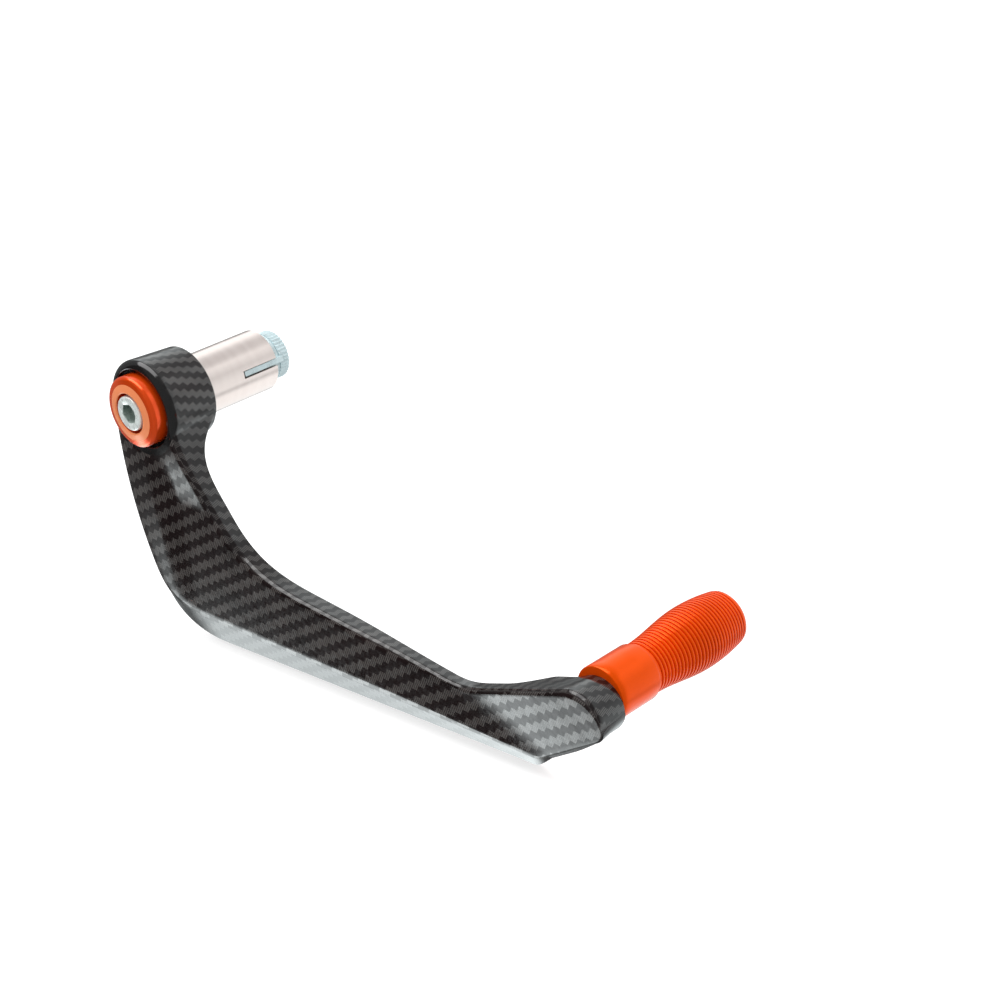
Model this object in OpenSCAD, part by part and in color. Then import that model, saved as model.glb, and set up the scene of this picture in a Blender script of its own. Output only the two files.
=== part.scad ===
// Brake lever guard for a handlebar end, front left one of a mirrored pair.
// The origin is on the plug axis at the back face of the boss. +Y runs along the
// plug into the handlebar, +X along the long leg towards the grip, +Z is up.

/* [Boss] */
// Diameter of the round boss at its back face
boss_d = 25.6; // [22:0.1:30]
// Diameter of the boss at its front rim
boss_front_d = 27.2; // [22:0.1:32]
// Depth of the boss along the plug axis
boss_depth = 16.4; // [12:0.1:24]
// Round on the front rim of the boss
boss_front_round = 1.4; // [0.4:0.1:2]
// Round on the back rim of the boss
boss_back_round = 0.7; // [0.2:0.1:1.5]
// Diameter of the front recess for the cap washer
recess_d = 22.6; // [20:0.1:26]
// Depth of the front recess
recess_depth = 3.2; // [1:0.1:6]
// Clearance hole for the M6 bolt
bolt_hole_d = 6.6; // [6.2:0.1:7.5]
// Depth of the back socket that centres the sleeve
socket_depth = 4; // [2:0.5:8]

/* [Arm outline] */
// Depth of the front face of the legs, measured from the back of the boss
face_depth = 15.2; // [10:0.1:20]
// Height of the level lower edge below the plug axis
arm_drop = 69.9; // [50:0.1:90]
// Outer edge of the face where the upper leg ends (x, z)
outer_knee = [-9.6, -45];
// Outer edge of the face where the long leg starts (x, z)
outer_heel = [13, -60.8];
// Lower edge of the face where the long leg ends (x, z)
outer_end = [134, -64.8];
// Sharp lower corner of the tip before it is rounded (x, z)
tip_corner = [138.6, -65];
// Distance along the long leg at which its level lower edge ends
level_end = 131.5; // [120:0.1:134]
// Upper edge of the face where the upper leg ends (x, z)
inner_knee = [25.4, -30.8];
// Upper edge of the face where the long leg starts (x, z)
inner_heel = [56, -45];
// Upper edge of the face where the long leg ends (x, z)
inner_end = [108.5, -52.2];
// Upper edge of the face where the rise to the tip starts (x, z)
valley_end = [122.5, -50.6];
// Upper edge of the face where the tip starts to round over (x, z)
tip_top = [150.5, -41.6];
// Distance from the grip axis to the far end of the tip
tip_nose = 9.4; // [7:0.1:12]
// How far the tip face leans forward at its far end
tip_lean = 2.2; // [0:0.1:5]
// Half the width of the soft fold where it starts to lean
fold_soft = 2.5; // [0.5:0.1:6]

/* [Arm section] */
// Thickness of the front wall
wall = 2.4; // [1.6:0.1:4]
// Thickness of the upper side wall
side_wall = 2.6; // [1.6:0.1:4]
// Depth of the upper side of the long leg
side_depth = 5.5; // [4:0.1:12]
// How much shallower the side is in the hollow before the tip
hollow_less = 1.6; // [0:0.1:2]
// Depth taken by the lower bevel
bevel_depth = 3.5; // [1:0.1:6]
// Round between the front face and the upper side
crease_round = 1.7; // [0.4:0.1:2.5]
// Length over which the boss flares into the upper side
flare = 5; // [2:0.5:10]

/* [Cap washer] */
// Outside diameter of the cap washer
cap_d = 20.4; // [18:0.1:24]
// Height of the cap washer from its seat to its outer edge
cap_h = 6.5; // [5:0.1:9]
// Dome of the face from the outer edge to the counterbore
cap_dome = 0.7; // [0:0.1:1.5]
// Bevel on the outer edge of the face
cap_bevel = 1.1; // [0.2:0.1:2]
// Diameter of the counterbore for the screw head
cap_bore_d = 11.6; // [10.4:0.1:13]
// Thickness of the washer under the screw head
cap_floor = 1.3; // [0.8:0.1:3]

/* [Bolt] */
// Nominal diameter of the bolt
bolt_d = 6; // [5:1:8]
// Length of the bolt under its head
bolt_len = 45; // [35:5:60]
// Diameter of the head
head_d = 10; // [9:0.1:13]
// Height of the head
head_h = 6; // [4:0.1:8]
// Width across the flats of the hexagon socket
hex_af = 5; // [3:0.5:6]
// Depth of the hexagon socket
hex_depth = 3; // [2:0.1:4]

/* [Sleeve] */
// Outside diameter of the expander sleeve
sleeve_d = 17.8; // [13:0.1:20]
// Step in radius down to the spigot that centres the sleeve in the boss
spigot_step = 1; // [0.4:0.1:2]
// Thickness of the sleeve's wall
sleeve_wall = 2.1; // [1.4:0.1:3]
// Length of the sleeve that stands behind the boss
sleeve_out = 25.9; // [18:0.1:40]
// Width of each slot
slot_w = 2.2; // [1:0.1:4]
// Length of each slot from the mouth
slot_len = 12.4; // [8:0.1:24]
// Number of slots
slots = 3; // [2:1:6]
// Turn of the first slot above the long leg
slot_turn = 7; // [0:1:45]
// Length of the solid collar that centres the bolt
sleeve_floor = 6; // [3:0.5:10]

/* [Cone nut] */
// Diameter of the knurled ring
knurl_d = 14; // [11:0.1:18]
// Width of the knurled ring
knurl_w = 3.2; // [2:0.1:5]
// Number of teeth on the knurled ring
knurl_n = 40; // [24:1:60]
// Gap from the sleeve mouth to the knurled ring
cone_gap = 2.4; // [1:0.1:5]
// How far the taper narrows on each side
cone_taper = 1.5; // [0.8:0.1:2]
// Length of the taper inside the sleeve
cone_in = 12; // [6:0.5:16]
// Play of the keys in the slots, on each side
key_play = 0.35; // [0.05:0.01:0.5]

/* [Grip] */
// Distance of the grip axis from the plug axis along the long leg
grip_x = 153.5; // [140:0.1:170]
// Height of the grip axis below the plug axis
grip_drop = 47; // [30:0.1:60]
// Diameter of the plain collar
collar_d = 15; // [12:0.1:18]
// Length of the plain collar
collar_len = 13.6; // [8:0.1:18]
// Diameter of the neck behind the collar
neck_d = 13.7; // [11:0.1:16]
// Largest diameter over the ribs
belly_d = 17.2; // [14:0.1:20]
// Diameter at the free end
grip_end_d = 14.9; // [12:0.1:18]
// Overall length of the grip
grip_len = 47.2; // [35:0.1:60]
// Number of turned grooves
ribs = 28; // [16:1:36]
// Depth of each groove
rib_depth = 0.45; // [0.2:0.05:0.8]
// Where along the ribbed length the grip is fattest
belly_at = 0.62; // [0.3:0.01:0.9]

/* [Grip fixing] */
// Nominal diameter of the hidden grip screw
grip_screw_d = 5; // [4:1:6]
// How far the hidden grip screw runs into the brass bush
grip_bite = 5.5; // [3:0.5:8]
// Diameter of its head
grip_head_d = 8.5; // [7:0.1:10]
// Height of its head
grip_head_h = 5; // [3:0.1:6]
// Depth of the pocket for its head in the free end
grip_pocket = 6.5; // [5:0.1:10]
// Outside diameter of the brass bush in the tip
insert_d = 7.4; // [6:0.1:9]
// Length of the brass bush
insert_len = 8.2; // [6:0.1:11]
// Radius of the rounded tip at its back face
tip_back_r = 7.2; // [6.5:0.1:10]
// How far the round of the back face lies below the grip axis
tip_back_low = 2.2; // [0:0.1:3]
// How far the flat back of the tip stays in front of the back of the boss
tip_back = 6.4; // [2:0.1:8]

/* [Hidden] */
$fn = 72;
eps = 0.02;
// clearances between fitting pieces
seat_play = 0.02;
socket_play = 0.05;
thread_play = 0.05;
pocket_play = 0.3;
spigot_d = sleeve_d - 2 * spigot_step;
sleeve_bore = sleeve_d - 2 * sleeve_wall;
boss_r = boss_d / 2;
seat_y = -boss_depth + recess_depth;
head_y = seat_y - cap_floor;
ring_y = sleeve_out + cone_gap;
cone_end = ring_y + knurl_w;
grip_y = -tip_back;
grip_end = grip_y + grip_len;
grip_at = [grip_x, -grip_drop];
screw_seat = grip_end - grip_pocket;
grip_screw_len = screw_seat - grip_y + grip_bite;
knurl_depth = 0.35;
key_gap = 0.9;
key_recess = 0.7;
key_r = sleeve_d / 2 - key_recess;

// Cubic curve through a and d, pulled by b and c
function curve(q, t) =
  pow(1 - t, 3) * q[0] + 3 * pow(1 - t, 2) * t * q[1]
  + 3 * (1 - t) * pow(t, 2) * q[2] + pow(t, 3) * q[3];
function slope(q, t) =
  3 * pow(1 - t, 2) * (q[1] - q[0]) + 6 * (1 - t) * t * (q[2] - q[1])
  + 3 * pow(t, 2) * (q[3] - q[2]);
function mix(a, b, t) = a + (b - a) * t;
function ease(t) = t <= 0 ? 0 : t >= 1 ? 1 : t * t * (3 - 2 * t);
function line(a, b) = [a, mix(a, b, 1 / 3), mix(a, b, 2 / 3), b];
function unit(v) = v / norm(v);
function mean(r) = [for (p = r) 1] * r / len(r);

// The two long edges of the front face, in six matching stretches: upper leg,
// bend, long leg, corner, rise of the tip and rounded nose.
// The inner edge leaves the boss along its rim, at this angle below the long leg
leave_at = -8;
leave = (boss_r - 0.25) * [cos(leave_at), sin(leave_at)];
nose = grip_x + tip_nose;
tip_low = [nose - 4.1, -grip_drop - 6.7];
heel_lean = unit(outer_end - outer_heel);
tip_run = unit(tip_low - tip_corner);
outer_edge = [
  [[0.7 - boss_r, 0], [-boss_r - 0.6, -14], outer_knee - [3.6, -15], outer_knee],
  [outer_knee, outer_knee + [2.5, -10.4], outer_heel - [18, -0.4], outer_heel],
  line(outer_heel, outer_end),
  [outer_end, tip_corner, tip_corner, tip_corner + 4.2 * tip_run],
  line(tip_corner + 4.2 * tip_run, tip_low),
  [tip_low, tip_low + 3 * tip_run, [nose, -grip_drop - 4.5], [nose, -grip_drop - 2.6]]
];
inner_edge = [
  [leave, leave + 9 * [sin(leave_at), -cos(leave_at)], inner_knee - [6.9, -9.3], inner_knee],
  [inner_knee, inner_knee + [7.6, -10.2], inner_heel - [13, -1.8], inner_heel],
  line(inner_heel, inner_end),
  [inner_end, inner_end + [5, -0.7], valley_end - [6, 1.9], valley_end],
  line(valley_end, tip_top),
  [tip_top, tip_top + [7, 2.2], [nose, -grip_drop + 3.6], [nose, -grip_drop - 1.6]]
];
steps = [14, 18, 8, 10, 10, 14];
stations = [for (i = [0:5]) for (j = [0:steps[i] - 1]) i + j / steps[i], 6];

function part_of(g) = min(floor(g), 5);
function outer(g) = curve(outer_edge[part_of(g)], g - part_of(g));
function inner(g) = curve(inner_edge[part_of(g)], g - part_of(g));
function outward(g) =
  let (t = unit(slope(outer_edge[part_of(g)], g - part_of(g)))) [t[1], -t[0]];

// The tip face is a flat facet that leans forward past a line across the corner
fold_g = 3.5;
fold_dir = unit(outer(fold_g) - inner(fold_g));
fold_up = [-fold_dir[1], fold_dir[0]];
lean_rate = tip_lean / ((inner(5.5) - inner(fold_g)) * fold_up);
function fold(d) =
  d < -fold_soft ? 0 : d > fold_soft ? d : pow(d + fold_soft, 2) / (4 * fold_soft);
// Height of the front face over the arm plane: the boss blends into the leg
function face(p) =
  mix(-boss_depth + 0.2, -face_depth, ease((norm(p) - boss_r) / 11))
  - lean_rate * fold((p - inner(fold_g)) * fold_up);
// Depth of the sides behind the face, flared towards the boss
function depth(p) =
  side_depth + (boss_depth - 0.5 - side_depth) * exp(-max(0, norm(p) - boss_r) / flare);
function in_tip(g) = ease((g - 4.2) / 0.75);
function hollow(g) = hollow_less * ease((g - 2.2) / 0.9);
function back(p, g) = mix(face(p) + depth(p) - hollow(g), -tip_back, in_tip(g));
function solid(g) = max(1 - ease((g - 0.15) / 0.4), ease((g - 4.35) / 0.45));
function bevel_w(g) =
  g < 1 ? mix(0.4, 3.2, ease(g))
  : g < 2 ? mix(3.2, arm_drop + outer_heel[1], ease(g - 1))
  : mix(1.2, 0.4, ease((g - 4.5) / 0.7));
function beside(g) = outer(g) + bevel_w(g) * outward(g);
// Lower edge of the bevel: level under the long leg, then round to the tip
corner_foot = [[level_end, -arm_drop], [level_end + 4, -arm_drop],
               [tip_corner[0] - 1.1, -arm_drop + 1.7], beside(4)];
function foot_at(g) =
  g < 2 || g >= 4 ? beside(g)
  : g < 3 ? mix(beside(1.9999), corner_foot[0], g - 2)
  : curve(corner_foot, g - 3);
function bevel_y(g) =
  g < 1.5 ? mix(0.5, bevel_depth, ease(g / 1.5))
  : g < 3 ? bevel_depth
  : mix(bevel_depth, 1.3, ease(g - 3)) - 0.8 * ease((g - 4.5) / 0.7);

// The back of the tip draws in nearly to a round just below the grip axis
tuck_at = grip_at - [0, tip_back_low];
tuck_share = 0.78;
function tuck(p, g) =
  let (v = p - tuck_at, r = norm(v))
  tuck_at + v * (1 - tuck_share * max(0, r - tip_back_r) / r * ease((g - 4.65) / 0.35));

// One closed ring of points round the section at station g
face_cuts = 5;
function at(p, y) = [p[0], y, p[1]];
function ring(g) =
  let (l = outer(g), u = inner(g), e = unit(u - l), w = norm(u - l),
       foot = foot_at(g), n = unit(foot - l), bw = norm(foot - l), by = bevel_y(g),
       rc = min(crease_round, w * 0.4), tw = min(side_wall, w * 0.3), ic = min(0.9, w * 0.15),
       lip = min(1.8, bw * 0.5), low = foot - lip * n,
       yl = back(l, g), yu = back(u, g), fill = solid(g),
       plate = function(p, k) min(mix(k + wall, back(p, g) - eps, fill),
                                  back(p, g) - eps))
  concat(
    [at(tuck(foot, g), max(yl, face(l) + by + wall)), at(foot, face(l) + by)],
    [at(l + 0.12 * bw * n, face(l) + 0.12 * by)],
    [for (i = [0:face_cuts])
      let (p = l + e * mix(0.05 * w + 0.2, w - rc, i / face_cuts)) at(p, face(p))],
    [for (a = [22.5:22.5:90])
      at(l + e * (w - rc + rc * sin(a)), face(u) + rc - rc * cos(a))],
    [at(tuck(u, g), yu), at(tuck(u - tw * e, g), yu)],
    [at(tuck(u - tw * e, g), plate(u, face(u) + ic))],
    [at(tuck(u - (tw + ic) * e, g), plate(u, face(u)))],
    [for (i = [face_cuts - 1:-1:1])
      let (p = l + e * mix(0.1 * w, w - tw - ic, i / face_cuts)) at(tuck(p, g), plate(p, face(p)))],
    [at(tuck(l + e * 0.1 * w, g), plate(l, face(l)))],
    [at(tuck(low, g), min(plate(l, face(l) + by * (1 - lip / bw)),
                          max(yl, face(l) + by + wall) - eps))],
    [at(tuck(low, g), max(yl, face(l) + by + wall))]
  );

module arm_skin() {
  rings = [for (g = stations) ring(g)];
  n = len(rings[0]);
  m = len(rings);
  pts = concat([for (r = rings) each r], [mean(rings[0]), mean(rings[m - 1])]);
  first = [for (i = [0:n - 1]) [m * n, (i + 1) % n, i]];
  last = [for (i = [0:n - 1])
    [m * n + 1, (m - 1) * n + i, (m - 1) * n + (i + 1) % n]];
  sides = [for (j = [0:m - 2]) for (i = [0:n - 1])
    let (a = j * n + i, b = j * n + (i + 1) % n) each [[a, b, a + n], [b, b + n, a + n]]];
  polyhedron(points = pts, faces = concat(first, sides, last), convexity = 8);
}

// Stands children drawn up the z axis on the plug axis at y
module plug(y) {
  translate([0, y, 0]) rotate([-90, 0, 0]) children();
}

module at_grip(y) {
  translate([grip_at[0], y, grip_at[1]]) rotate([-90, 0, 0]) children();
}

module boss_body() {
  f = boss_front_round;
  b = boss_back_round;
  plug(0) rotate_extrude() polygon(concat(
    [[0, 0], [0, -boss_depth]],
    [for (a = [0:15:90]) [boss_front_d / 2 - f + f * sin(a), -boss_depth + f - f * cos(a)]],
    [for (a = [0:22.5:90]) [boss_r - b + b * cos(a), -b + b * sin(a)]]));
}

module arm() {
  color([0.1, 0.1, 0.1]) difference() {
    union() {
      boss_body();
      arm_skin();
    }
    plug(-boss_depth - 2) cylinder(d = recess_d, h = recess_depth + 2);
    plug(-boss_depth) cylinder(d = bolt_hole_d, h = boss_depth);
    plug(-socket_depth) rotate_extrude() polygon([[0, 0], [spigot_d / 2 + socket_play, 0],
      [spigot_d / 2 + socket_play, socket_depth - spigot_step],
      [sleeve_d / 2 + socket_play, socket_depth], [sleeve_d / 2 + socket_play, socket_depth + 1],
      [0, socket_depth + 1]]);
    at_grip(grip_y - insert_len) cylinder(d = insert_d, h = insert_len + 1);
  }
}

module cap_washer() {
  r = cap_d / 2;
  k = cap_bevel;
  color([1, 0.3, 0.05]) plug(seat_y) rotate_extrude() polygon(concat(
    [[bolt_hole_d / 2, 0], [r - 0.3, 0], [r, -0.3]],
    [for (a = [0:18:90]) [r - k + k * cos(a), -cap_h + k - k * sin(a)]],
    [[cap_bore_d / 2 + 0.4, -cap_h - cap_dome],
     [cap_bore_d / 2, -cap_h - cap_dome + 0.4],
     [cap_bore_d / 2, -cap_floor], [bolt_hole_d / 2, -cap_floor]]));
}

module cap_screw(d, len, hd, hh, af, deep) {
  c = 0.4;
  difference() {
    rotate_extrude() polygon([[0, -hh], [hd / 2 - c, -hh], [hd / 2, -hh + c], [hd / 2, 0],
      [d / 2, 0], [d / 2, len - c], [d / 2 - c, len], [0, len]]);
    translate([0, 0, -hh - 1]) rotate([0, 0, 20])
      cylinder(d = af / cos(30), h = deep + 1, $fn = 6);
  }
}

module bolt() {
  color([0.8, 0.8, 0.78]) plug(head_y - seat_play)
    cap_screw(bolt_d, bolt_len, head_d, head_h, hex_af, hex_depth);
}

module sleeve() {
  r = sleeve_d / 2;
  q = sleeve_bore / 2;
  c = 0.4;
  hole = bolt_hole_d / 2;
  long = sleeve_out + socket_depth;
  color([0.85, 0.83, 0.82]) plug(-socket_depth) difference() {
    rotate_extrude() polygon([[hole, 0], [spigot_d / 2, 0],
      [spigot_d / 2, socket_depth - spigot_step], [r, socket_depth], [r, long - c], [r - c, long],
      [q + 0.3, long], [q, long - 0.3], [q, sleeve_floor], [hole, sleeve_floor]]);
    for (i = [0:slots - 1]) rotate([0, 0, i * 360 / slots - slot_turn])
      translate([0, -slot_w / 2, long - slot_len]) cube([r + 1, slot_w, slot_len + 1]);
  }
}

module cone_nut() {
  taper_r = sleeve_bore / 2 - seat_play;
  small_r = sleeve_bore / 2 - cone_taper;
  rate = (taper_r - small_r) / cone_in;
  neck = 0.5;
  big_r = taper_r + rate * (cone_gap - neck);
  y0 = sleeve_out - cone_in;
  key_from = max(0.4, cone_in - slot_len + key_gap);
  teeth = [for (i = [0:2 * knurl_n - 1])
    let (a = i * 180 / knurl_n, r = knurl_d / 2 - (i % 2) * knurl_depth) r * [cos(a), sin(a)]];
  color([0.75, 0.82, 0.84]) plug(y0) difference() {
    union() {
      rotate_extrude() polygon([[0, 0], [small_r - 0.3, 0], [small_r, 0.3],
        [big_r, cone_in + cone_gap - neck], [big_r - 0.5, cone_in + cone_gap - neck],
        [big_r - 0.5, cone_end - y0 - 0.3], [0, cone_end - y0 - 0.3]]);
      translate([0, 0, cone_in + cone_gap]) linear_extrude(knurl_w) polygon(teeth);
      for (i = [0:slots - 1]) rotate([0, 0, i * 360 / slots - slot_turn])
        translate([0, -slot_w / 2 + key_play, key_from])
          cube([key_r, slot_w - 2 * key_play, cone_in + cone_gap - key_from + eps]);
    }
    translate([0, 0, -1]) cylinder(d = bolt_d + 2 * thread_play, h = cone_end - y0 + 2);
    translate([0, 0, cone_end - y0 - 1.6])
      cylinder(r1 = bolt_d / 2 + thread_play, r2 = bolt_d / 2 + 1.8, h = 1.6 + eps);
  }
}

// Radius of the ribbed body at a share t of its length
function grip_r(t) =
  t < belly_at ? mix(neck_d, belly_d, (1 - cos(180 * t / belly_at)) / 2) / 2
  : mix(belly_d, grip_end_d, pow((t - belly_at) / (1 - belly_at), 2)) / 2;

module grip() {
  c = 0.5;
  y1 = collar_len + 1.1;
  span = grip_len - y1 - 1;
  pitch = 1 / ribs;
  color([1, 0.3, 0.02]) at_grip(grip_y) difference() {
    rotate_extrude() polygon(concat(
      [[0, 0], [collar_d / 2 - c, 0], [collar_d / 2, c], [collar_d / 2, collar_len - c],
       [collar_d / 2 - c, collar_len], [neck_d / 2, y1 - 0.3]],
      [for (i = [0:ribs - 1]) each [
        [grip_r(i * pitch), y1 + i * pitch * span],
        [grip_r(i * pitch) - rib_depth, y1 + (i + 0.12) * pitch * span],
        [grip_r(i * pitch) - rib_depth, y1 + (i + 0.32) * pitch * span],
        [grip_r((i + 0.44) * pitch), y1 + (i + 0.44) * pitch * span]]],
      [[grip_end_d / 2, y1 + span], [grip_end_d / 2 - 1, grip_len], [0, grip_len]]));
    translate([0, 0, -1]) cylinder(d = grip_screw_d + pocket_play, h = grip_len + 2);
    translate([0, 0, grip_len - grip_pocket])
      cylinder(d = grip_head_d + pocket_play, h = grip_pocket + 1);
  }
}

module grip_screw() {
  color([0.8, 0.8, 0.78]) at_grip(screw_seat) rotate([180, 0, 0])
    cap_screw(grip_screw_d, grip_screw_len, grip_head_d, grip_head_h, 4, 2.5);
}

module grip_insert() {
  color([0.8, 0.65, 0.3]) at_grip(grip_y - insert_len) difference() {
    cylinder(d = insert_d, h = insert_len);
    translate([0, 0, -1]) cylinder(d = grip_screw_d + 2 * thread_play, h = insert_len + 2);
  }
}

arm();
cap_washer();
bolt();
sleeve();
cone_nut();
grip();
grip_screw();
grip_insert();
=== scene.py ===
import bpy
import math
import numpy as np
from mathutils import Matrix


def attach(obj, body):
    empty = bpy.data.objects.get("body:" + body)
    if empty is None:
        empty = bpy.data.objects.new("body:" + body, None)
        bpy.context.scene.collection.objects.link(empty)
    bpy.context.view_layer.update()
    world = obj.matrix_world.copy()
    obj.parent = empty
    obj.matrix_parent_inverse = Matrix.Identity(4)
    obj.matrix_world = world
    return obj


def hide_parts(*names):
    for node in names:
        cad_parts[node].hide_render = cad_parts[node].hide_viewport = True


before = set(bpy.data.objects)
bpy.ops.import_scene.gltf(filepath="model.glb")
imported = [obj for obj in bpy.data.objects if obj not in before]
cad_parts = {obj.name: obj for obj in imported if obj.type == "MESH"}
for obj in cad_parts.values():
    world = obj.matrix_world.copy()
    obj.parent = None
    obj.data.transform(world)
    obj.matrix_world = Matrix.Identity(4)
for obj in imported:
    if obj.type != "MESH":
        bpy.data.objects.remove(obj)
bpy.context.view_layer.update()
MM = 0.001


# Camera: a long lens from the right, in front and above, as the guard was photographed.
eye = bpy.data.objects.new("eye", bpy.data.cameras.new("eye"))
bpy.context.scene.collection.objects.link(eye)
eye.data.sensor_width = 36
eye.data.lens = 79.18
eye.data.clip_start = 0.02
eye.data.clip_end = 20
eye.matrix_world = Matrix((
    (0.71370, -0.20760, 0.66898, 0.47606),
    (0.69169, 0.35946, -0.62638, -0.33300),
    (-0.11044, 0.90978, 0.40014, 0.20650),
    (0, 0, 0, 1)))
bpy.context.scene.camera = eye
bpy.context.scene.view_settings.view_transform = "Standard"


# Studio: a white table just under the long leg, one wide soft lamp above, and a room that
# the gloss sees as dark in front of the table and pale behind it.
def studio_floor(height, half):
    """A flat square at the given height, half wide to each side of the origin."""
    mesh = bpy.data.meshes.new("table_top")
    mesh.from_pydata([(-half, -half, height), (half, -half, height), (half, half, height),
                      (-half, half, height)], [], [(0, 1, 2, 3)])
    top = bpy.data.objects.new("table_top", mesh)
    bpy.context.scene.collection.objects.link(top)
    return top


def feed(tree, socket, value):
    """Sets a socket to a number or a colour, or joins it to another node's output."""
    if isinstance(value, tuple):
        socket.default_value = (*value, 1)
    elif isinstance(value, (int, float)):
        socket.default_value = value
    else:
        tree.links.new(value, socket)


def colour_mix(tree, share, a, b):
    """Colour a where share is 0 and colour b where it is 1."""
    node = tree.nodes.new("ShaderNodeMix")
    node.data_type = "RGBA"
    ends = [socket for socket in node.inputs if socket.type == "RGBA"]
    for socket, value in ((node.inputs[0], share), (ends[0], a), (ends[1], b)):
        feed(tree, socket, value)
    return [socket for socket in node.outputs if socket.type == "RGBA"][0]


def table_paint():
    """White to the camera, plain pale matt to soft light, and nothing to a mirror ray."""
    m = bpy.data.materials.new("table_white")
    m.use_nodes = True
    t = m.node_tree
    t.nodes.clear()
    path = t.nodes.new("ShaderNodeLightPath").outputs
    matt = t.nodes.new("ShaderNodeBsdfDiffuse")
    matt.inputs["Color"].default_value = (0.6, 0.6, 0.6, 1)
    lift = t.nodes.new("ShaderNodeEmission")
    lift.inputs["Color"].default_value = (1, 1, 1, 1)
    lift.inputs["Strength"].default_value = 0.62
    clear = t.nodes.new("ShaderNodeBsdfTransparent")

    def joined(kind, *sources):
        node = t.nodes.new(kind)
        for socket, source in zip(node.inputs, sources):
            t.links.new(source, socket)
        return node.outputs[0] if node.outputs else None

    lifted = joined("ShaderNodeAddShader", matt.outputs[0], lift.outputs[0])
    seen = joined("ShaderNodeMixShader", path["Is Camera Ray"], matt.outputs[0], lifted)
    whole = joined("ShaderNodeMixShader", path["Is Glossy Ray"], seen, clear.outputs[0])
    joined("ShaderNodeOutputMaterial", whole)
    return m


TABLE_HEIGHT = -0.0712
table_top = studio_floor(TABLE_HEIGHT, 2.5)
table_top.data.materials.append(table_paint())


def room():
    """The world: white to the camera and an even pale dome to soft light. A mirror ray sees
    it by its direction. On the left it is dark in front, dim behind, bright on the table
    below and pale high at the back. On the right it is dim, and its back wall changes with
    the height, as a row of shelves does."""
    world = bpy.data.worlds.new("room")
    bpy.context.scene.world = world
    world.use_nodes = True
    t = world.node_tree
    t.nodes.clear()
    path = t.nodes.new("ShaderNodeLightPath").outputs
    way = t.nodes.new("ShaderNodeTexCoord")
    split = t.nodes.new("ShaderNodeSeparateXYZ")
    t.links.new(way.outputs["Generated"], split.inputs[0])

    def band(axis, low, high, name):
        """Smooth step of the direction's value on one axis: 0 at low, 1 at high."""
        step = t.nodes.new("ShaderNodeMapRange")
        step.interpolation_type = "SMOOTHSTEP"
        step.label = name
        step.inputs["From Min"].default_value = low
        step.inputs["From Max"].default_value = high
        t.links.new(split.outputs[axis], step.inputs["Value"])
        return step.outputs[0]

    def work_out(operation, a, b):
        node = t.nodes.new("ShaderNodeMath")
        node.operation = operation
        feed(t, node.inputs[0], a)
        feed(t, node.inputs[1], b)
        return node.outputs[0]

    def plus(a, b):
        return work_out("ADD", a, b)

    def times(a, b):
        return work_out("MULTIPLY", a, b)

    def choose(share, a, b):
        """Number a where share is 0 and number b where it is 1."""
        node = t.nodes.new("ShaderNodeMix")
        node.data_type = "FLOAT"
        for key, value in (("Factor", share), ("A", a), ("B", b)):
            feed(t, node.inputs[key], value)
        return node.outputs[0]

    front_dark, left_dim, right_dim, soft_light = 0.045, 0.22, 0.24, 0.86
    table_light, table_edge_light, upper_light = 2.1, 2.5, 1.15
    behind = band("Y", -0.530, -0.466, "behind the front edge")
    back = band("Y", 0.30, 0.50, "back wall")
    right = band("X", -0.62, -0.38, "right side")
    low = times(band("Z", -0.40, -0.47, "table below"), band("X", -0.80, -0.735, "clear of the left wall"))
    high = times(band("Z", 0.10, 0.36, "upper wall"), back)
    side_on = band("Y", 0.05, -0.46, "table edge")
    table = times(low, plus(table_light, times(side_on, table_edge_light)))
    table = times(table, work_out("SUBTRACT", 1, times(back, 0.75)))
    wall = plus(left_dim, plus(table, times(high, upper_light)))
    on_left = plus(front_dark, times(behind, wall))
    height = t.nodes.new("ShaderNodeMapRange")
    height.inputs["From Min"].default_value = -1
    t.links.new(split.outputs["Z"], height.inputs["Value"])
    shelves = t.nodes.new("ShaderNodeValToRGB")
    t.links.new(height.outputs[0], shelves.inputs[0])
    stops = [(0.10, 1.35), (0.15, 1.3), (0.22, 0.7), (0.29, 1.15), (0.50, 1.0), (0.66, 0.8),
             (0.85, 1.1), (0.905, 0.62), (0.93, 0.55)]
    while len(shelves.color_ramp.elements) < len(stops):
        shelves.color_ramp.elements.new(0.5)
    for spot, (at, light) in zip(shelves.color_ramp.elements, stops):
        spot.position = at
        spot.color = (light, light, light, 1)
    shelves_more = work_out("SUBTRACT", shelves.outputs[0], right_dim)
    on_right = plus(right_dim, times(back, shelves_more))
    mirrored = choose(right, on_left, on_right)
    lit = choose(path["Is Glossy Ray"], soft_light, mirrored)
    sky = t.nodes.new("ShaderNodeBackground")
    cool = colour_mix(t, path["Is Glossy Ray"], (1, 1, 1), (0.92, 0.99, 1))
    t.links.new(cool, sky.inputs["Color"])
    t.links.new(choose(path["Is Camera Ray"], lit, 1), sky.inputs["Strength"])
    out = t.nodes.new("ShaderNodeOutputWorld")
    t.links.new(sky.outputs[0], out.inputs["Surface"])


room()

lamp = bpy.data.objects.new("soft_box", bpy.data.lights.new("soft_box", "AREA"))
bpy.context.scene.collection.objects.link(lamp)
lamp.data.shape = "RECTANGLE"
lamp.data.size = 1.0
lamp.data.size_y = 0.8
lamp.data.energy = 8
lamp.data.specular_factor = 0.15
lamp.location = (-0.25, -0.1, 0.9)
lamp.rotation_euler = (math.radians(-6), math.radians(-15), 0)


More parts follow.
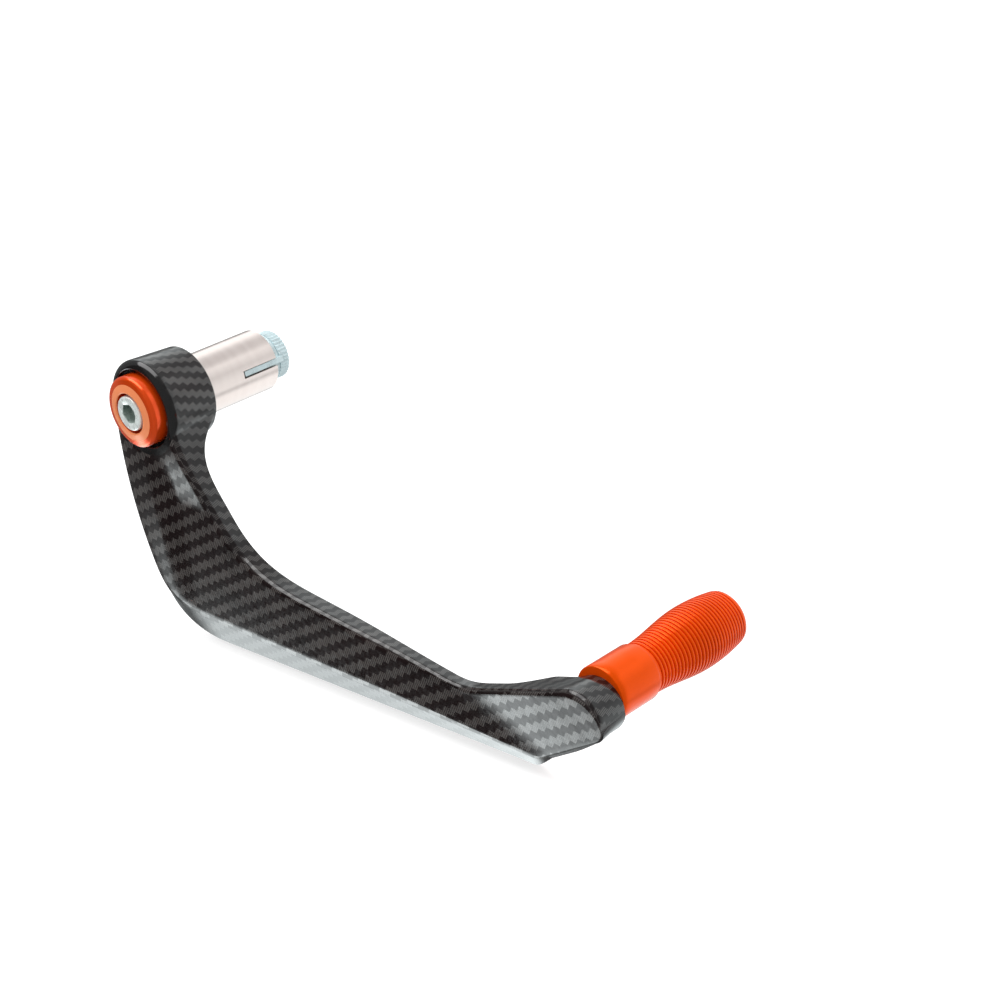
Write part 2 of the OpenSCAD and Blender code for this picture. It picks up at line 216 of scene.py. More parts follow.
# Arm: one injection moulding in glossy black nylon, open at the back like a channel, with
# a solid round boss on the bar end and a solid tip for the grip. Its front and sides carry a
# carbon twill print under clear lacquer; the inside of the channel is plain black.
BOSS_D, BOSS_DEPTH = 25.6, 16.4
FACE_DEPTH, ARM_DROP = 15.2, 69.9
GRIP_X, GRIP_Z, TIP_BACK = 153.5, -47.0, -6.4
NOSE = GRIP_X + 9.4


def unit(v):
    return v / np.linalg.norm(v)


def straight(a, b):
    """Four control points spaced evenly from a to b, for a straight stretch."""
    return [a + (b - a) * k / 3 for k in range(4)]


# Corners of the arm seen from the front, as x and z, and its two edges in six stretches each.
outer_knee, outer_heel = np.array([-9.6, -45]), np.array([13, -60.8])
outer_end, tip_corner = np.array([134, -64.8]), np.array([138.6, -65])
inner_knee, inner_heel = np.array([25.4, -30.8]), np.array([56, -45])
inner_end, valley_end = np.array([108.5, -52.2]), np.array([122.5, -50.6])
tip_top = np.array([150.5, -41.6])
tip_low = np.array([NOSE - 4.1, GRIP_Z - 6.7])
tip_run = unit(tip_low - tip_corner)
tip_start = tip_corner + 4.2 * tip_run
leave_at = math.radians(-8)
leave = (BOSS_D / 2 - 0.25) * np.array([math.cos(leave_at), math.sin(leave_at)])
leave_way = np.array([math.sin(leave_at), -math.cos(leave_at)])
outer_edge = np.array([
    [[0.7 - BOSS_D / 2, 0], [-BOSS_D / 2 - 0.6, -14], outer_knee - [3.6, -15], outer_knee],
    [outer_knee, outer_knee + [2.5, -10.4], outer_heel - [18, -0.4], outer_heel],
    straight(outer_heel, outer_end),
    [outer_end, tip_corner, tip_corner, tip_start],
    straight(tip_start, tip_low),
    [tip_low, tip_low + 3 * tip_run, [NOSE, GRIP_Z - 4.5], [NOSE, GRIP_Z - 2.6]]])
inner_edge = np.array([
    [leave, leave + 9 * leave_way, inner_knee - [6.9, -9.3], inner_knee],
    [inner_knee, inner_knee + [7.6, -10.2], inner_heel - [13, -1.8], inner_heel],
    straight(inner_heel, inner_end),
    [inner_end, inner_end + [5, -0.7], valley_end - [6, 1.9], valley_end],
    straight(valley_end, tip_top),
    [tip_top, tip_top + [7, 2.2], [NOSE, GRIP_Z + 3.6], [NOSE, GRIP_Z - 1.6]]])


def cubic(q0, q1, q2, q3, t):
    """Point at a share t of the cubic curve with control points q0 to q3."""
    return (1 - t) ** 3 * q0 + 3 * (1 - t) ** 2 * t * q1 + 3 * (1 - t) * t ** 2 * q2 + t ** 3 * q3


def stretch_at(edge, g):
    """Control points and share at stations g: the whole part of g picks one of the edge's
    six stretches, the rest is the share of it."""
    k = np.minimum(g.astype(int), 5)
    return edge[k].transpose(1, 0, 2), (g - k)[:, None]


def along(edge, g):
    """Points on the edge at stations g."""
    q, t = stretch_at(edge, g)
    return cubic(*q, t)


def heading(edge, g):
    """Unit direction of the edge at stations g, from the control points' differences."""
    q, t = stretch_at(edge, g)
    d = (1 - t) ** 2 * (q[1] - q[0]) + 2 * (1 - t) * t * (q[2] - q[1]) + t ** 2 * (q[3] - q[2])
    return d / np.linalg.norm(d, axis=1, keepdims=True)


def ease(t):
    """Smooth step: 3 t squared less 2 t cubed, held at 0 and 1."""
    t = np.clip(t, 0, 1)
    return t * t * (3 - 2 * t)


def mix(a, b, t):
    """Value at a share t of the way from a to b."""
    return a + (b - a) * t


FOLD_STATION, LEAN_STATION, LEAN, FOLD_SOFT = 3.5, 5.5, 2.2, 5
fold_in, lean_in = along(inner_edge, np.array([FOLD_STATION, LEAN_STATION]))
fold_out = along(outer_edge, np.array([FOLD_STATION]))[0]
fold_dir = unit(fold_out - fold_in)
fold_up = np.array([-fold_dir[1], fold_dir[0]])
lean_rate = LEAN / ((lean_in - fold_in) @ fold_up)


def front(p):
    """Height of the front face at points p: the boss's face eases into the leg's over
    58 mm on the left and as a steeper ramp of 18 mm by the inner edge, and past the fold
    line the tip leans forward in proportion to the distance d. The fold is soft:
    (d + 5) squared over 20 within 5 mm of the line."""
    r = np.linalg.norm(p, axis=-1)
    d = (p - fold_in) @ fold_up
    lean = np.where(d > FOLD_SOFT, d, np.clip(d + FOLD_SOFT, 0, 2 * FOLD_SOFT) ** 2 / (4 * FOLD_SOFT))
    slow = ease((r - BOSS_D / 2) / 58)
    fall = np.clip((-p[..., 1] - 9) / 18, 0, 1)
    ramp = (fall + ease(fall)) / 2
    drop = mix(slow, np.maximum(slow, ramp), ease((p[..., 0] + 3) / 12))
    return mix(-BOSS_DEPTH + 0.02, -FACE_DEPTH, drop) - lean_rate * lean


def side_depth(p):
    """Depth of the sides: 5.5 mm on the legs, and more towards the boss, falling off as e
    to the minus distance from it over 5 mm."""
    r = np.linalg.norm(p, axis=-1)
    return 5.5 + (BOSS_DEPTH - 6) * np.exp(-np.maximum(0, r - BOSS_D / 2) / 5)


def back_of(p, g):
    """Height of the rim at the back: the sides' depth, a little less in the hollow before
    the tip, easing to the flat back of the tip."""
    rim = front(p) + side_depth(p) - 1.6 * ease((g - 2.2) / 0.9)
    return mix(rim, TIP_BACK, ease((g - 4.2) / 0.75))


def tuck(p, g):
    """Points of the tip's back edge drawn in nearly to a round of 7.2 mm just below the
    grip: 78 % of what reaches past it is taken off."""
    middle = np.array([GRIP_X, GRIP_Z - 2.2])
    v = p - middle
    r = np.linalg.norm(v, axis=1)
    share = 0.78 * np.maximum(0, r - 7.2) / r * ease((g - 4.65) / 0.35)
    return middle + v * (1 - share)[:, None]


def beside_edge(g):
    """The outer edge at stations g, set off square to itself by the bevel's width."""
    way = heading(outer_edge, g)
    square = np.stack([way[:, 1], -way[:, 0]], 1)
    heel_width = ARM_DROP + outer_heel[1]
    width = np.select([g < 1, g < 2], [mix(0.4, 3.2, ease(g)), mix(3.2, heel_width, ease(g - 1))],
                      mix(1.2, 0.4, ease((g - 4.5) / 0.7)))
    return along(outer_edge, g) + width[:, None] * square


def bevel_foot(g):
    """Lower edge of the bevel: beside the outer edge on the upper leg and the tip, level
    under the long leg, and a cubic round the corner between them."""
    first, last = beside_edge(np.array([1.9999, 4.0]))
    level = np.array([131.5, -ARM_DROP])
    turn = np.array([137.5, -ARM_DROP + 1.7])
    corner = cubic(level, level + [4, 0], turn, last, np.clip(g - 3, 0, 1)[:, None])
    under_leg = mix(first, level, np.clip(g - 2, 0, 1)[:, None])
    out = np.where((g < 3)[:, None], under_leg, corner)
    return np.where(((g < 2) | (g >= 4))[:, None], beside_edge(g), out)


SHELL, RIM, UNDER_RECESS = 2.4, 0.25, -12.5
FACE_TURN, SIDE_TURN, SIDE_SCALE = 26, -20, 1.25
BEVEL_PRINT, FLANK_PRINT, BOSS_PRINT = 0.5, 0.65, 0.8


def film_turned(spots, degrees):
    """Places on the printed film: x along the weave's diagonal, y across it."""
    c, s = math.cos(math.radians(degrees)), math.sin(math.radians(degrees))
    return np.stack([spots @ [c, s], spots @ [-s, c]], -1)


def arm_grid(g):
    """Rings round the section at stations g: up the outer side, over the bevel, face and
    crease, down the inner flank and back through the channel. For each point also its
    place on the printed film in millimetres and the print's share, 1 on the face."""
    outer, inner = along(outer_edge, g), along(inner_edge, g)
    width = np.linalg.norm(inner - outer, axis=1)
    across = (inner - outer) / width[:, None]
    foot = bevel_foot(g)
    bevel = np.linalg.norm(foot - outer, axis=1)
    down = (foot - outer) / bevel[:, None]
    run = np.concatenate([[0], np.cumsum(np.linalg.norm(np.diff(inner, axis=0), axis=1))])
    bevel_drop = np.select([g < 1.5, g < 3], [mix(0.5, 3.5, ease(g / 1.5)), 3.5 + 0 * g],
                           mix(3.5, 1.3, ease(g - 3)) - 0.8 * ease((g - 4.5) / 0.7))
    crease, wall = np.minimum(1.7, width * 0.4), np.minimum(2.6, width * 0.3)
    fillet_in, lip = np.minimum(0.9, width * 0.15), np.minimum(1.8, bevel * 0.5)
    solid = np.maximum(1 - ease((g - 0.15) / 0.4), ease((g - 4.35) / 0.45))
    front_outer, front_inner = front(outer), front(inner)
    back_inner = back_of(inner, g)
    foot_back = np.maximum(back_of(outer, g), front_outer + bevel_drop + SHELL)
    rows, film = [], []

    def put(p, y, where, printed=1.0):
        rows.append(np.stack([p[:, 0], y, p[:, 1]], 1))
        film.append(np.column_stack([where, np.full(len(g), printed)]))

    def face_film(p):
        return film_turned(p, FACE_TURN)

    def side_film(depth):
        return film_turned(SIDE_SCALE * np.stack([depth, -run], 1), SIDE_TURN)

    # Outer side, from the back to the bevel.
    for k in np.linspace(0, 1, 6):
        y = mix(foot_back, front_outer + bevel_drop, k)
        put(mix(tuck(foot, g), foot, k), y, face_film(outer) + [2.0, -2.0 - 3 * (1 - k)], BEVEL_PRINT)
    # Bevel, and its soft edge to the face.
    for k in np.linspace(0.1, 0.86, 6):
        p = mix(foot, outer, k)
        put(p, mix(front_outer + bevel_drop, front_outer, k), face_film(p), BEVEL_PRINT)
    soft = 0.14 * bevel + 0.15
    rise = front(outer + across * soft[:, None]) - front_outer
    for k in np.linspace(0, 1, 6):
        before, after = soft * (1 - k) ** 2, soft * k ** 2
        p = outer + down * before[:, None] + across * after[:, None]
        put(p, front_outer + bevel_drop / bevel * before + rise * k ** 2, face_film(p))
    # Face, which passes behind the floor of the boss's recess.
    for k in np.linspace(0.06, 1, 26):
        p = outer + across * mix(soft, width - crease, k)[:, None]
        clear = ease((np.linalg.norm(p, axis=1) - 11.6) / 1.2)
        put(p, mix(UNDER_RECESS, front(p), clear), face_film(p))
    # Crease to the inner flank, the flank and its rim.
    crease_start = front(inner - across * crease[:, None])
    for a in np.linspace(9, 90, 10):
        s, c = math.sin(math.radians(a)), math.cos(math.radians(a))
        p = inner - across * (crease * (1 - s))[:, None]
        y = mix(crease_start, front_inner, s) + crease * (1 - c)
        if a < 40:
            put(p, y, face_film(p))
        else:
            put(p, y, side_film(crease * (math.radians(a) - 0.7)), FLANK_PRINT)
    flank_top = front_inner + crease
    for k in np.linspace(0.06, 0.96, 12):
        y = mix(flank_top, back_inner, k)
        put(mix(inner, tuck(inner, g), k), y, side_film(y - flank_top + 1.5), FLANK_PRINT)
    put(tuck(inner - across * RIM, g), back_inner, side_film(back_inner - flank_top + 1.7))

    def inside(p, y):
        put(tuck(p, g), y, np.zeros((len(g), 2)), 0)

    def channel(p, top):
        """Height of the channel's floor: the shell's thickness behind top, or just short
        of the back where the section is solid."""
        end = back_of(p, g) - 0.02
        return np.minimum(mix(top + SHELL, end, solid), end)

    inside(inner - across * (wall - RIM)[:, None], back_inner)
    inside(inner - across * wall[:, None], back_inner - RIM * (1 - solid))
    inside(inner - across * wall[:, None], channel(inner, front_inner + fillet_in))
    for a in (0.3, 0.6, 1.0):
        p = inner - across * (wall + fillet_in * a)[:, None]
        inside(p, channel(p, front_inner + fillet_in * (1 - a) ** 2))
    for k in np.linspace(0.95, 0.05, 12):
        p = outer + across * mix(0.1 * width, width - wall - fillet_in, k)[:, None]
        inside(p, channel(p, front(p)))
    inside(outer + across * (0.1 * width)[:, None], channel(outer, front_outer))
    lip_edge = foot - lip[:, None] * down
    lip_floor = channel(outer, front_outer + bevel_drop * (1 - lip / bevel))
    inside(lip_edge, np.minimum(lip_floor, foot_back - 0.02))
    inside(lip_edge, foot_back)
    return np.stack(rows, 1), np.stack(film, 1)


def quads(a, b):
    """Faces between rings of vertex numbers a and their next rings b, each ring closed."""
    return np.stack([a, np.roll(a, -1, 1), np.roll(b, -1, 1), b], -1).reshape(-1, 4).tolist()


def skin(grid):
    """A tube of quads over a grid of rings, closed at its two ends by fans round their mean
    points. Returns vertices and faces."""
    m, k = grid.shape[:2]
    base = np.arange(m * k).reshape(m, k)
    faces = quads(base[:-1], base[1:])
    i = np.arange(k)
    j = np.roll(i, -1)
    faces += np.stack([np.full(k, m * k), j, i], 1).tolist()
    faces += np.stack([np.full(k, m * k + 1), (m - 1) * k + i, (m - 1) * k + j], 1).tolist()
    return np.vstack([grid.reshape(-1, 3), grid[0].mean(0), grid[-1].mean(0)]), faces


def turned(profile, turns, where=(0.0, 0.0), shape=None):
    """Surface of revolution about +Y: rings of radius r at height y round the line
    x, z = where. shape, if given, changes the radius by ring and angle."""
    th = np.linspace(0, 2 * np.pi, turns, endpoint=False)
    r, y = profile[:, 0][:, None] + 0 * th, profile[:, 1][:, None] + 0 * th
    if shape is not None:
        r = shape(r, th)
    return np.stack([where[0] + r * np.cos(th), y, where[1] + r * np.sin(th)], -1)


def ring_shell(rings):
    """Vertices and faces of turned rings, with the last ring joined to the first."""
    m, k = rings.shape[:2]
    base = np.arange(m * k).reshape(m, k)
    return rings.reshape(-1, 3), quads(base, np.roll(base, -1, 0))


def lathe_shell(points, turns, where=(0.0, 0.0), shape=None):
    """A closed section turned round the axis, as vertices and faces."""
    return ring_shell(turned(np.array(points, float), turns, where, shape))


def fillet(cx, cy, r, a0, a1, n=8):
    """Points on an arc about (cx, cy) from angle a0 to a1 in degrees."""
    a = np.radians(np.linspace(a0, a1, n))
    return np.column_stack([cx + r * np.cos(a), cy + r * np.sin(a)]).tolist()


def facing_out(verts, faces):
    """True if the closed surface's signed volume is positive, summed over face fans."""
    v = np.asarray(verts)
    total = 0.0
    for size in (3, 4):
        f = np.array([q for q in faces if len(q) == size])
        if len(f):
            for i in range(1, size - 1):
                total += np.einsum("ij,ij->i", v[f[:, 0]], np.cross(v[f[:, i]], v[f[:, i + 1]])).sum()
    return total > 0


def as_piece(name, shells, paint, body, instead, sharp, film=None):
    """Joins closed shells into one object, turns each to face out, smooths it and marks
    edges sharper than the given angle, then hands it to its body and hides the CAD node it stands in for."""
    verts, faces = [], []
    for v, f in shells:
        if not facing_out(v, f):
            f = [q[::-1] for q in f]
        faces += [[i + len(verts) for i in q] for q in f]
        verts += (np.asarray(v) * MM).tolist()
    mesh = bpy.data.meshes.new(name)
    mesh.from_pydata(verts, [], faces)
    mesh.polygons.foreach_set("use_smooth", np.ones(len(mesh.polygons), bool))
    mesh.set_sharp_from_angle(angle=math.radians(sharp))
    if film is not None:
        loops = np.zeros(len(mesh.loops), np.int32)
        mesh.loops.foreach_get("vertex_index", loops)
        layer = mesh.uv_layers.new(name="film")
        layer.data.foreach_set("uv", film[loops, :2].astype(np.float32).ravel())
        shown = mesh.attributes.new("printed", "FLOAT", "POINT")
        shown.data.foreach_set("value", film[:, 2].astype(np.float32))
    mesh.materials.append(paint)
    piece = bpy.data.objects.new(name, mesh)
    bpy.context.scene.collection.objects.link(piece)
    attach(piece, body)
    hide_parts(instead)


class Recipe:
    """A short way to write one finish as shader nodes."""

    def __init__(self, name, **sockets):
        self.material = bpy.data.materials.new(name)
        self.material.use_nodes = True
        self.tree = self.material.node_tree
        self.shader = self.tree.nodes["Principled BSDF"]
        for k, v in sockets.items():
            self.shader.inputs[k.replace("_", " ")].default_value = v

    def math(self, op, a, b=0.0, c=0.0):
        node = self.tree.nodes.new("ShaderNodeMath")
        node.operation = op
        for socket, value in zip(node.inputs, (a, b, c)):
            feed(self.tree, socket, value)
        return node.outputs[0]

    def ramp(self, value, stops):
        """Colour by value, straight between the stops."""
        node = self.tree.nodes.new("ShaderNodeValToRGB")
        el = node.color_ramp.elements
        while len(el) < len(stops):
            el.new(0.5)
        for spot, (at, colour) in zip(el, stops):
            spot.position = at
            spot.color = (*colour, 1)
        self.tree.links.new(value, node.inputs[0])
        return node.outputs[0]

    def levels(self, value, *stops):
        """The same for plain numbers."""
        return self.ramp(value, [(at, (level,) * 3) for at, level in stops])

    def blend(self, share, a, b):
        return colour_mix(self.tree, share, a, b)

    def place(self):
        return self.tree.nodes.new("ShaderNodeTexCoord").outputs["Object"]

    def parts(self, vector):
        node = self.tree.nodes.new("ShaderNodeSeparateXYZ")
        self.tree.links.new(vector, node.inputs[0])
        return node.outputs

    def from_axis(self):
        """Place on the piece and distance from the Y axis: root of x squared plus z squared."""
        at = self.parts(self.place())
        squares = [self.math("MULTIPLY", at[k], at[k]) for k in (0, 2)]
        return at, self.math("SQRT", self.math("ADD", *squares))

    def noise(self, vector, scale, detail=3.0, squeeze=(1, 1, 1)):
        turn = self.tree.nodes.new("ShaderNodeMapping")
        turn.inputs["Scale"].default_value = squeeze
        self.tree.links.new(vector, turn.inputs[0])
        node = self.tree.nodes.new("ShaderNodeTexNoise")
        node.inputs["Scale"].default_value = scale
        node.inputs["Detail"].default_value = detail
        self.tree.links.new(turn.outputs[0], node.inputs["Vector"])
        return node.outputs["Fac"]

    def bump(self, height, distance, strength=1.0):
        node = self.tree.nodes.new("ShaderNodeBump")
        node.inputs["Distance"].default_value = distance
        node.inputs["Strength"].default_value = strength
        self.tree.links.new(height, node.inputs["Height"])
        return node.outputs["Normal"]

    def to(self, socket, value):
        self.tree.links.new(value, self.shader.inputs[socket])


def carbon_print():
    """Twill weave drawn in film coordinates: cells of two yarn directions, i and j, whose
    whole parts summed modulo four choose the light or the dark yarn."""
    r = Recipe("carbon_print", Roughness=0.1, Coat_Weight=0.0, IOR=1.5)
    uv = r.tree.nodes.new("ShaderNodeUVMap")
    uv.uv_map = "film"
    s = r.parts(uv.outputs[0])
    attribute = r.tree.nodes.new("ShaderNodeAttribute")
    attribute.attribute_name = "printed"
    shown = attribute.outputs["Fac"]
    yarn, stretch, threads = 1.534, 1.5, 3
    a = r.math("DIVIDE", s[0], stretch * yarn * math.sqrt(2))
    b = r.math("DIVIDE", s[1], yarn * math.sqrt(2))
    i = r.math("ADD", a, b)
    j = r.math("SUBTRACT", b, a)
    cell = r.math("ADD", r.math("FLOOR", i), r.math("FLOOR", j))
    light = r.math("LESS_THAN", r.math("FLOORED_MODULO", cell, 4.0), 1.5)
    wave = r.math("SINE", r.math("MULTIPLY", j, 2 * math.pi * threads))
    hatch = r.math("MULTIPLY_ADD", wave, 0.5, 0.5)
    drift = r.noise(r.place(), 120, 2)
    lit = r.ramp(r.math("MULTIPLY_ADD", drift, 0.7, r.math("MULTIPLY", hatch, 0.5)),
                 [(0.25, (0.010, 0.008, 0.008)), (0.8, (0.080, 0.069, 0.065))])
    dim = r.ramp(r.math("MULTIPLY_ADD", hatch, 0.2, drift),
                 [(0.3, (0.007, 0.004, 0.004)), (0.8, (0.015, 0.009, 0.009))])
    plain = r.ramp(drift, [(0.3, (0.006, 0.005, 0.005)), (0.7, (0.009, 0.008, 0.008))])
    r.to("Base Color", r.blend(shown, plain, r.blend(light, dim, lit)))
    yarn_gloss = r.math("MULTIPLY_ADD", light, 0.42, 0.38)
    plain_gloss = r.math("MULTIPLY", r.math("SUBTRACT", 1.0, shown), 0.7)
    r.to("Specular IOR Level", r.math("MULTIPLY_ADD", yarn_gloss, shown, plain_gloss))
    r.to("Roughness", r.levels(r.noise(r.place(), 900, 2), (0.3, 0.08), (0.7, 0.14)))
    r.to("Normal", r.bump(r.noise(r.place(), 260, 2), 0.000015))
    return r.material


BOSS_FRONT_R, RIM_ROUND, BACK_ROUND, BOSS_TURNS = 13.6, 2.1, 0.7, 192
RECESS_R, RECESS_DEPTH, BOLT_HOLE_R = 11.3, 3.2, 3.3
SOCKET_R, SOCKET_DEPTH, SOCKET_MOUTH = 7.95, 4, 1
SEAT = -BOSS_DEPTH + RECESS_DEPTH


def boss_profile():
    """Radius and height of the boss from the bottom of the front recess, over the rounded
    front rim and down the side to the sleeve's socket in the back face."""
    back_r, face = BOSS_D / 2, -BOSS_DEPTH
    recess = [[BOLT_HOLE_R, -SOCKET_DEPTH], [BOLT_HOLE_R, SEAT]]
    recess += [[RECESS_R - 0.1, SEAT], [RECESS_R, SEAT - 0.1]]
    recess_edge = [[RECESS_R, face + 0.35], [RECESS_R + 0.04, face + 0.2]]
    recess_edge += [[RECESS_R + 0.11, face + 0.08], [RECESS_R + 0.2, face + 0.02]]
    rim = fillet(BOSS_FRONT_R - RIM_ROUND, face + RIM_ROUND, RIM_ROUND, -90, 0, 14)
    side = [[mix(BOSS_FRONT_R, back_r, k), mix(face + 2.3, -0.9, k)] for k in np.linspace(0, 1, 14)]
    back = fillet(back_r - BACK_ROUND, -BACK_ROUND, BACK_ROUND, 0, 90)
    socket = [[SOCKET_R + SOCKET_MOUTH, 0], [SOCKET_R, -SOCKET_MOUTH], [SOCKET_R, -SOCKET_DEPTH]]
    return np.array(recess + recess_edge + rim[1:] + side + back + socket)


def boss_rings():
    """The boss's turned rings and their film, which is wound round its side. In the leg's
    sector the front rim is levelled to lie just in front of the leg's face."""
    prof = boss_profile()
    ring = turned(prof, BOSS_TURNS)
    turn_by = np.linspace(0, 2 * np.pi, BOSS_TURNS, endpoint=False)
    arc = BOSS_D / 2 * ((turn_by - leave_at + np.pi / 2) % (2 * np.pi) - np.pi / 2)
    depth = prof[:, 1] + BOSS_DEPTH
    spots = np.stack(np.broadcast_arrays(depth[:, None], arc[None, :]), -1)
    printed = BOSS_PRINT * ease((depth - 1) / 2.6) * (prof[:, 0] > 11.6)
    printed = printed * ease((-0.05 - prof[:, 1]) / 0.5)
    film = np.dstack([film_turned(SIDE_SCALE * spots, SIDE_TURN), printed[:, None] + 0 * arc])
    angle = np.degrees(np.arctan2(ring[..., 2], ring[..., 0]))
    in_sector = ease((-angle - 8) / 27) * ease((angle + 180) / 25)
    on_rim = (prof[:, 0] > RECESS_R + 0.03) & (prof[:, 1] < -BOSS_DEPTH + RIM_ROUND)
    level = front(ring[..., [0, 2]]) - 0.01 + np.clip(11.5 - prof[:, 0], 0, 1)[:, None]
    ring[..., 1] = mix(ring[..., 1], level, in_sector * on_rim[:, None])
    return ring, film


stations = np.concatenate([k + np.linspace(0, 1, 44, endpoint=False) for k in range(6)] + [[6.0]])
arm_rings, arm_film = arm_grid(stations)
boss, boss_film = boss_rings()
end_film = [[0, 0, 1], [0, 0, 1]]
as_piece("arm_moulding", [skin(arm_rings), ring_shell(boss)],
         carbon_print(), "root", "arm", 40,
         np.vstack([arm_film.reshape(-1, 3), end_film, boss_film.reshape(-1, 3)]))


# Cap washer: turned from aluminium bar and anodised orange, with a low domed face, a bevelled
# rim and a deep counterbore for the bolt's head. The bolt clamps it into the boss's recess.
CAP_R, BORE_R, BRIGHT_R = 10.2, 5.8, 8.2
BOLT_SEAT = SEAT - 1.3


def cap_finish():
    """The same dye on two surfaces, told apart by their distance from the axis: bright from
    cutting outside 8.2 mm and in the bore, and satin on the face between them."""
    r = Recipe("orange_anodise", Metallic=0.8, Coat_Weight=0.3, Coat_Roughness=0.15)
    at, far = r.from_axis()
    outside = r.math("GREATER_THAN", far, BRIGHT_R * MM)
    inside = r.math("GREATER_THAN", at[1], (SEAT - 6.7) * MM)
    bright = r.math("MAXIMUM", outside, r.math("MULTIPLY", inside, r.math("LESS_THAN", far, 7 * MM)))
    r.to("Base Color", r.blend(bright, (1.0, 0.30, 0.11), (1.0, 0.085, 0.003)))
    r.to("Roughness", r.levels(bright, (0, 0.52), (1, 0.2)))
    r.to("Metallic", r.levels(bright, (0, 0.2), (1, 0.55)))
    return r.material


cap_section = ([[BOLT_HOLE_R, SEAT], [CAP_R - 0.3, SEAT], [CAP_R, SEAT - 0.3]]
               + fillet(CAP_R - 1.1, SEAT - 5.4, 1.1, 0, -78, 12)
               + [[BRIGHT_R, SEAT - 6.62], [7.2, SEAT - 6.9], [6.3, SEAT - 7.18]]
               + fillet(BORE_R + 0.35, SEAT - 6.85, 0.35, -90, -180, 7)
               + [[BORE_R, SEAT - 3], [BORE_R, SEAT - 1.6], [BORE_R - 0.3, BOLT_SEAT]]
               + [[BOLT_HOLE_R, BOLT_SEAT]])
as_piece("cap_washer_turned", [lathe_shell(cap_section, 192)], cap_finish(),
         "root", "cap_washer", 40)


# Bolt: M6 socket cap screw, zinc plated, through the cap washer, boss and sleeve. Its head has
# a rounded edge and a 5 mm hexagon socket, and its thread is drawn as plain grooves.
BOLT_R, BOLT_LEN, THREAD_LEN, PITCH = 3, 45, 24, 1.0
HEAD_R, HEAD_H, HEAD_ROUND = 5, 6, 0.55
HEX_R, HEX_DEEP, HEX_TURN = 2.5, 3, 0.35


def plated(name, tint, rough):
    """A slightly cloudy bright metal of one tint, as zinc plating and brass are."""
    r = Recipe(name, Metallic=0.3, Roughness=rough)
    cloud = r.noise(r.place(), 500, 3)
    dark = tuple(0.8 * k for k in tint)
    r.to("Base Color", r.ramp(cloud, [(0.3, dark), (0.7, tint)]))
    r.to("Roughness", r.levels(cloud, (0.3, rough - 0.06), (0.7, rough + 0.1)))
    return r


def bolt_section():
    """Radius and height over the bolt, from the bottom of its socket over the head and
    down the shank: the head's seat is at 0 and its face at minus its height. The groove
    of the thread repeats once in every pitch."""
    face = -HEAD_H
    pts = [[0.02, face + HEX_DEEP + 0.7], [HEX_R * 0.9, face + HEX_DEEP]]
    pts += [[HEX_R, face + HEX_DEEP - 0.05], [HEX_R, face + 0.25]]
    pts += [[HEX_R / math.cos(math.pi / 6) + 0.12, face], [HEAD_R - HEAD_ROUND - 0.3, face]]
    pts += fillet(HEAD_R - HEAD_ROUND, face + HEAD_ROUND, HEAD_ROUND, -90, 0)
    pts += [[HEAD_R, y] for y in (face + HEAD_ROUND + 0.15, face + HEAD_ROUND + 0.35, -0.5, -0.35)]
    pts += [[HEAD_R - 0.05, 0], [BOLT_R + 0.15, 0], [BOLT_R, 0.15]]
    groove = BOLT_R - 0.5 * PITCH
    for y in BOLT_LEN - THREAD_LEN + PITCH * np.arange(int(THREAD_LEN / PITCH)):
        pts += [[BOLT_R, y + 0.1 * PITCH], [groove, y + 0.45 * PITCH],
                [groove, y + 0.6 * PITCH], [BOLT_R, y + 0.95 * PITCH]]
    return np.array(pts + [[BOLT_R - 0.6, BOLT_LEN], [0.02, BOLT_LEN]])


def hexed(r, th):
    """Rings 1 to 3, the socket's wall, drawn out from round to hexagon: the wall's distance
    is its half width over the cosine of the angle to the middle of the nearest flat."""
    off_flat = (th + HEX_TURN + np.pi / 6) % (np.pi / 3) - np.pi / 6
    out = r.copy()
    out[1:4] = r[1:4] / np.cos(off_flat)
    return out


def bolt_finish():
    """The same plating with painted shade in the hexagon socket: within 3 mm of the axis
    and below the head's face, darkest towards the top."""
    r = plated("zinc_plate_bolt", (0.93, 1.0, 0.97), 0.26)
    at, far = r.from_axis()
    # Painted shade: this mask picks the hexagon socket, whose colour is darkened in place of the shade
    # inside it.
    socket_shade = r.math("MULTIPLY", r.math("LESS_THAN", far, 2.95 * MM),
                    r.math("GREATER_THAN", at[1], (BOLT_SEAT - HEAD_H + 0.15) * MM))
    rise = r.math("MULTIPLY_ADD", at[2], 220.0, 0.5)
    # Painted shade: dark grey-green, darkest towards the top of the socket, standing in for real shade.
    film = r.ramp(rise, [(0.25, (0.42, 0.50, 0.46)), (0.75, (0.13, 0.18, 0.16))])
    plating = r.shader.inputs["Base Color"].links[0].from_socket
    r.to("Base Color", r.blend(socket_shade, plating, film))
    return r.material


bolt_shell = lathe_shell(bolt_section() + [0, BOLT_SEAT], 180, shape=hexed)
as_piece("bolt_plated", [bolt_shell], bolt_finish(), "bolt", "bolt", 40)


# Sleeve: turned aluminium tube, left plain, slit from its mouth into three fingers. It stands in
# a socket in the boss and the cone spreads its fingers inside the handlebar.
def bare_aluminium():
    """Turned and lightly brushed aluminium: fine rings round the axis in its gloss and
    relief, and long faint streaks in its colour."""
    r = Recipe("bare_aluminium", Metallic=0.8, Roughness=0.3)
    rings = r.noise(r.place(), 420, 3, (0.05, 1, 0.05))
    streak = r.noise(r.place(), 160, 3, (1, 0.06, 1))
    tone = r.math("MULTIPLY_ADD", streak, 0.5, r.math("MULTIPLY", rings, 0.5))
    r.to("Base Color", r.ramp(tone, [(0.35, (0.80, 0.68, 0.64)), (0.65, (0.87, 0.75, 0.71))]))
    r.to("Roughness", r.levels(rings, (0.3, 0.14), (0.7, 0.2)))
    r.to("Normal", r.bump(rings, 0.000004, 0.25))
    return r.material


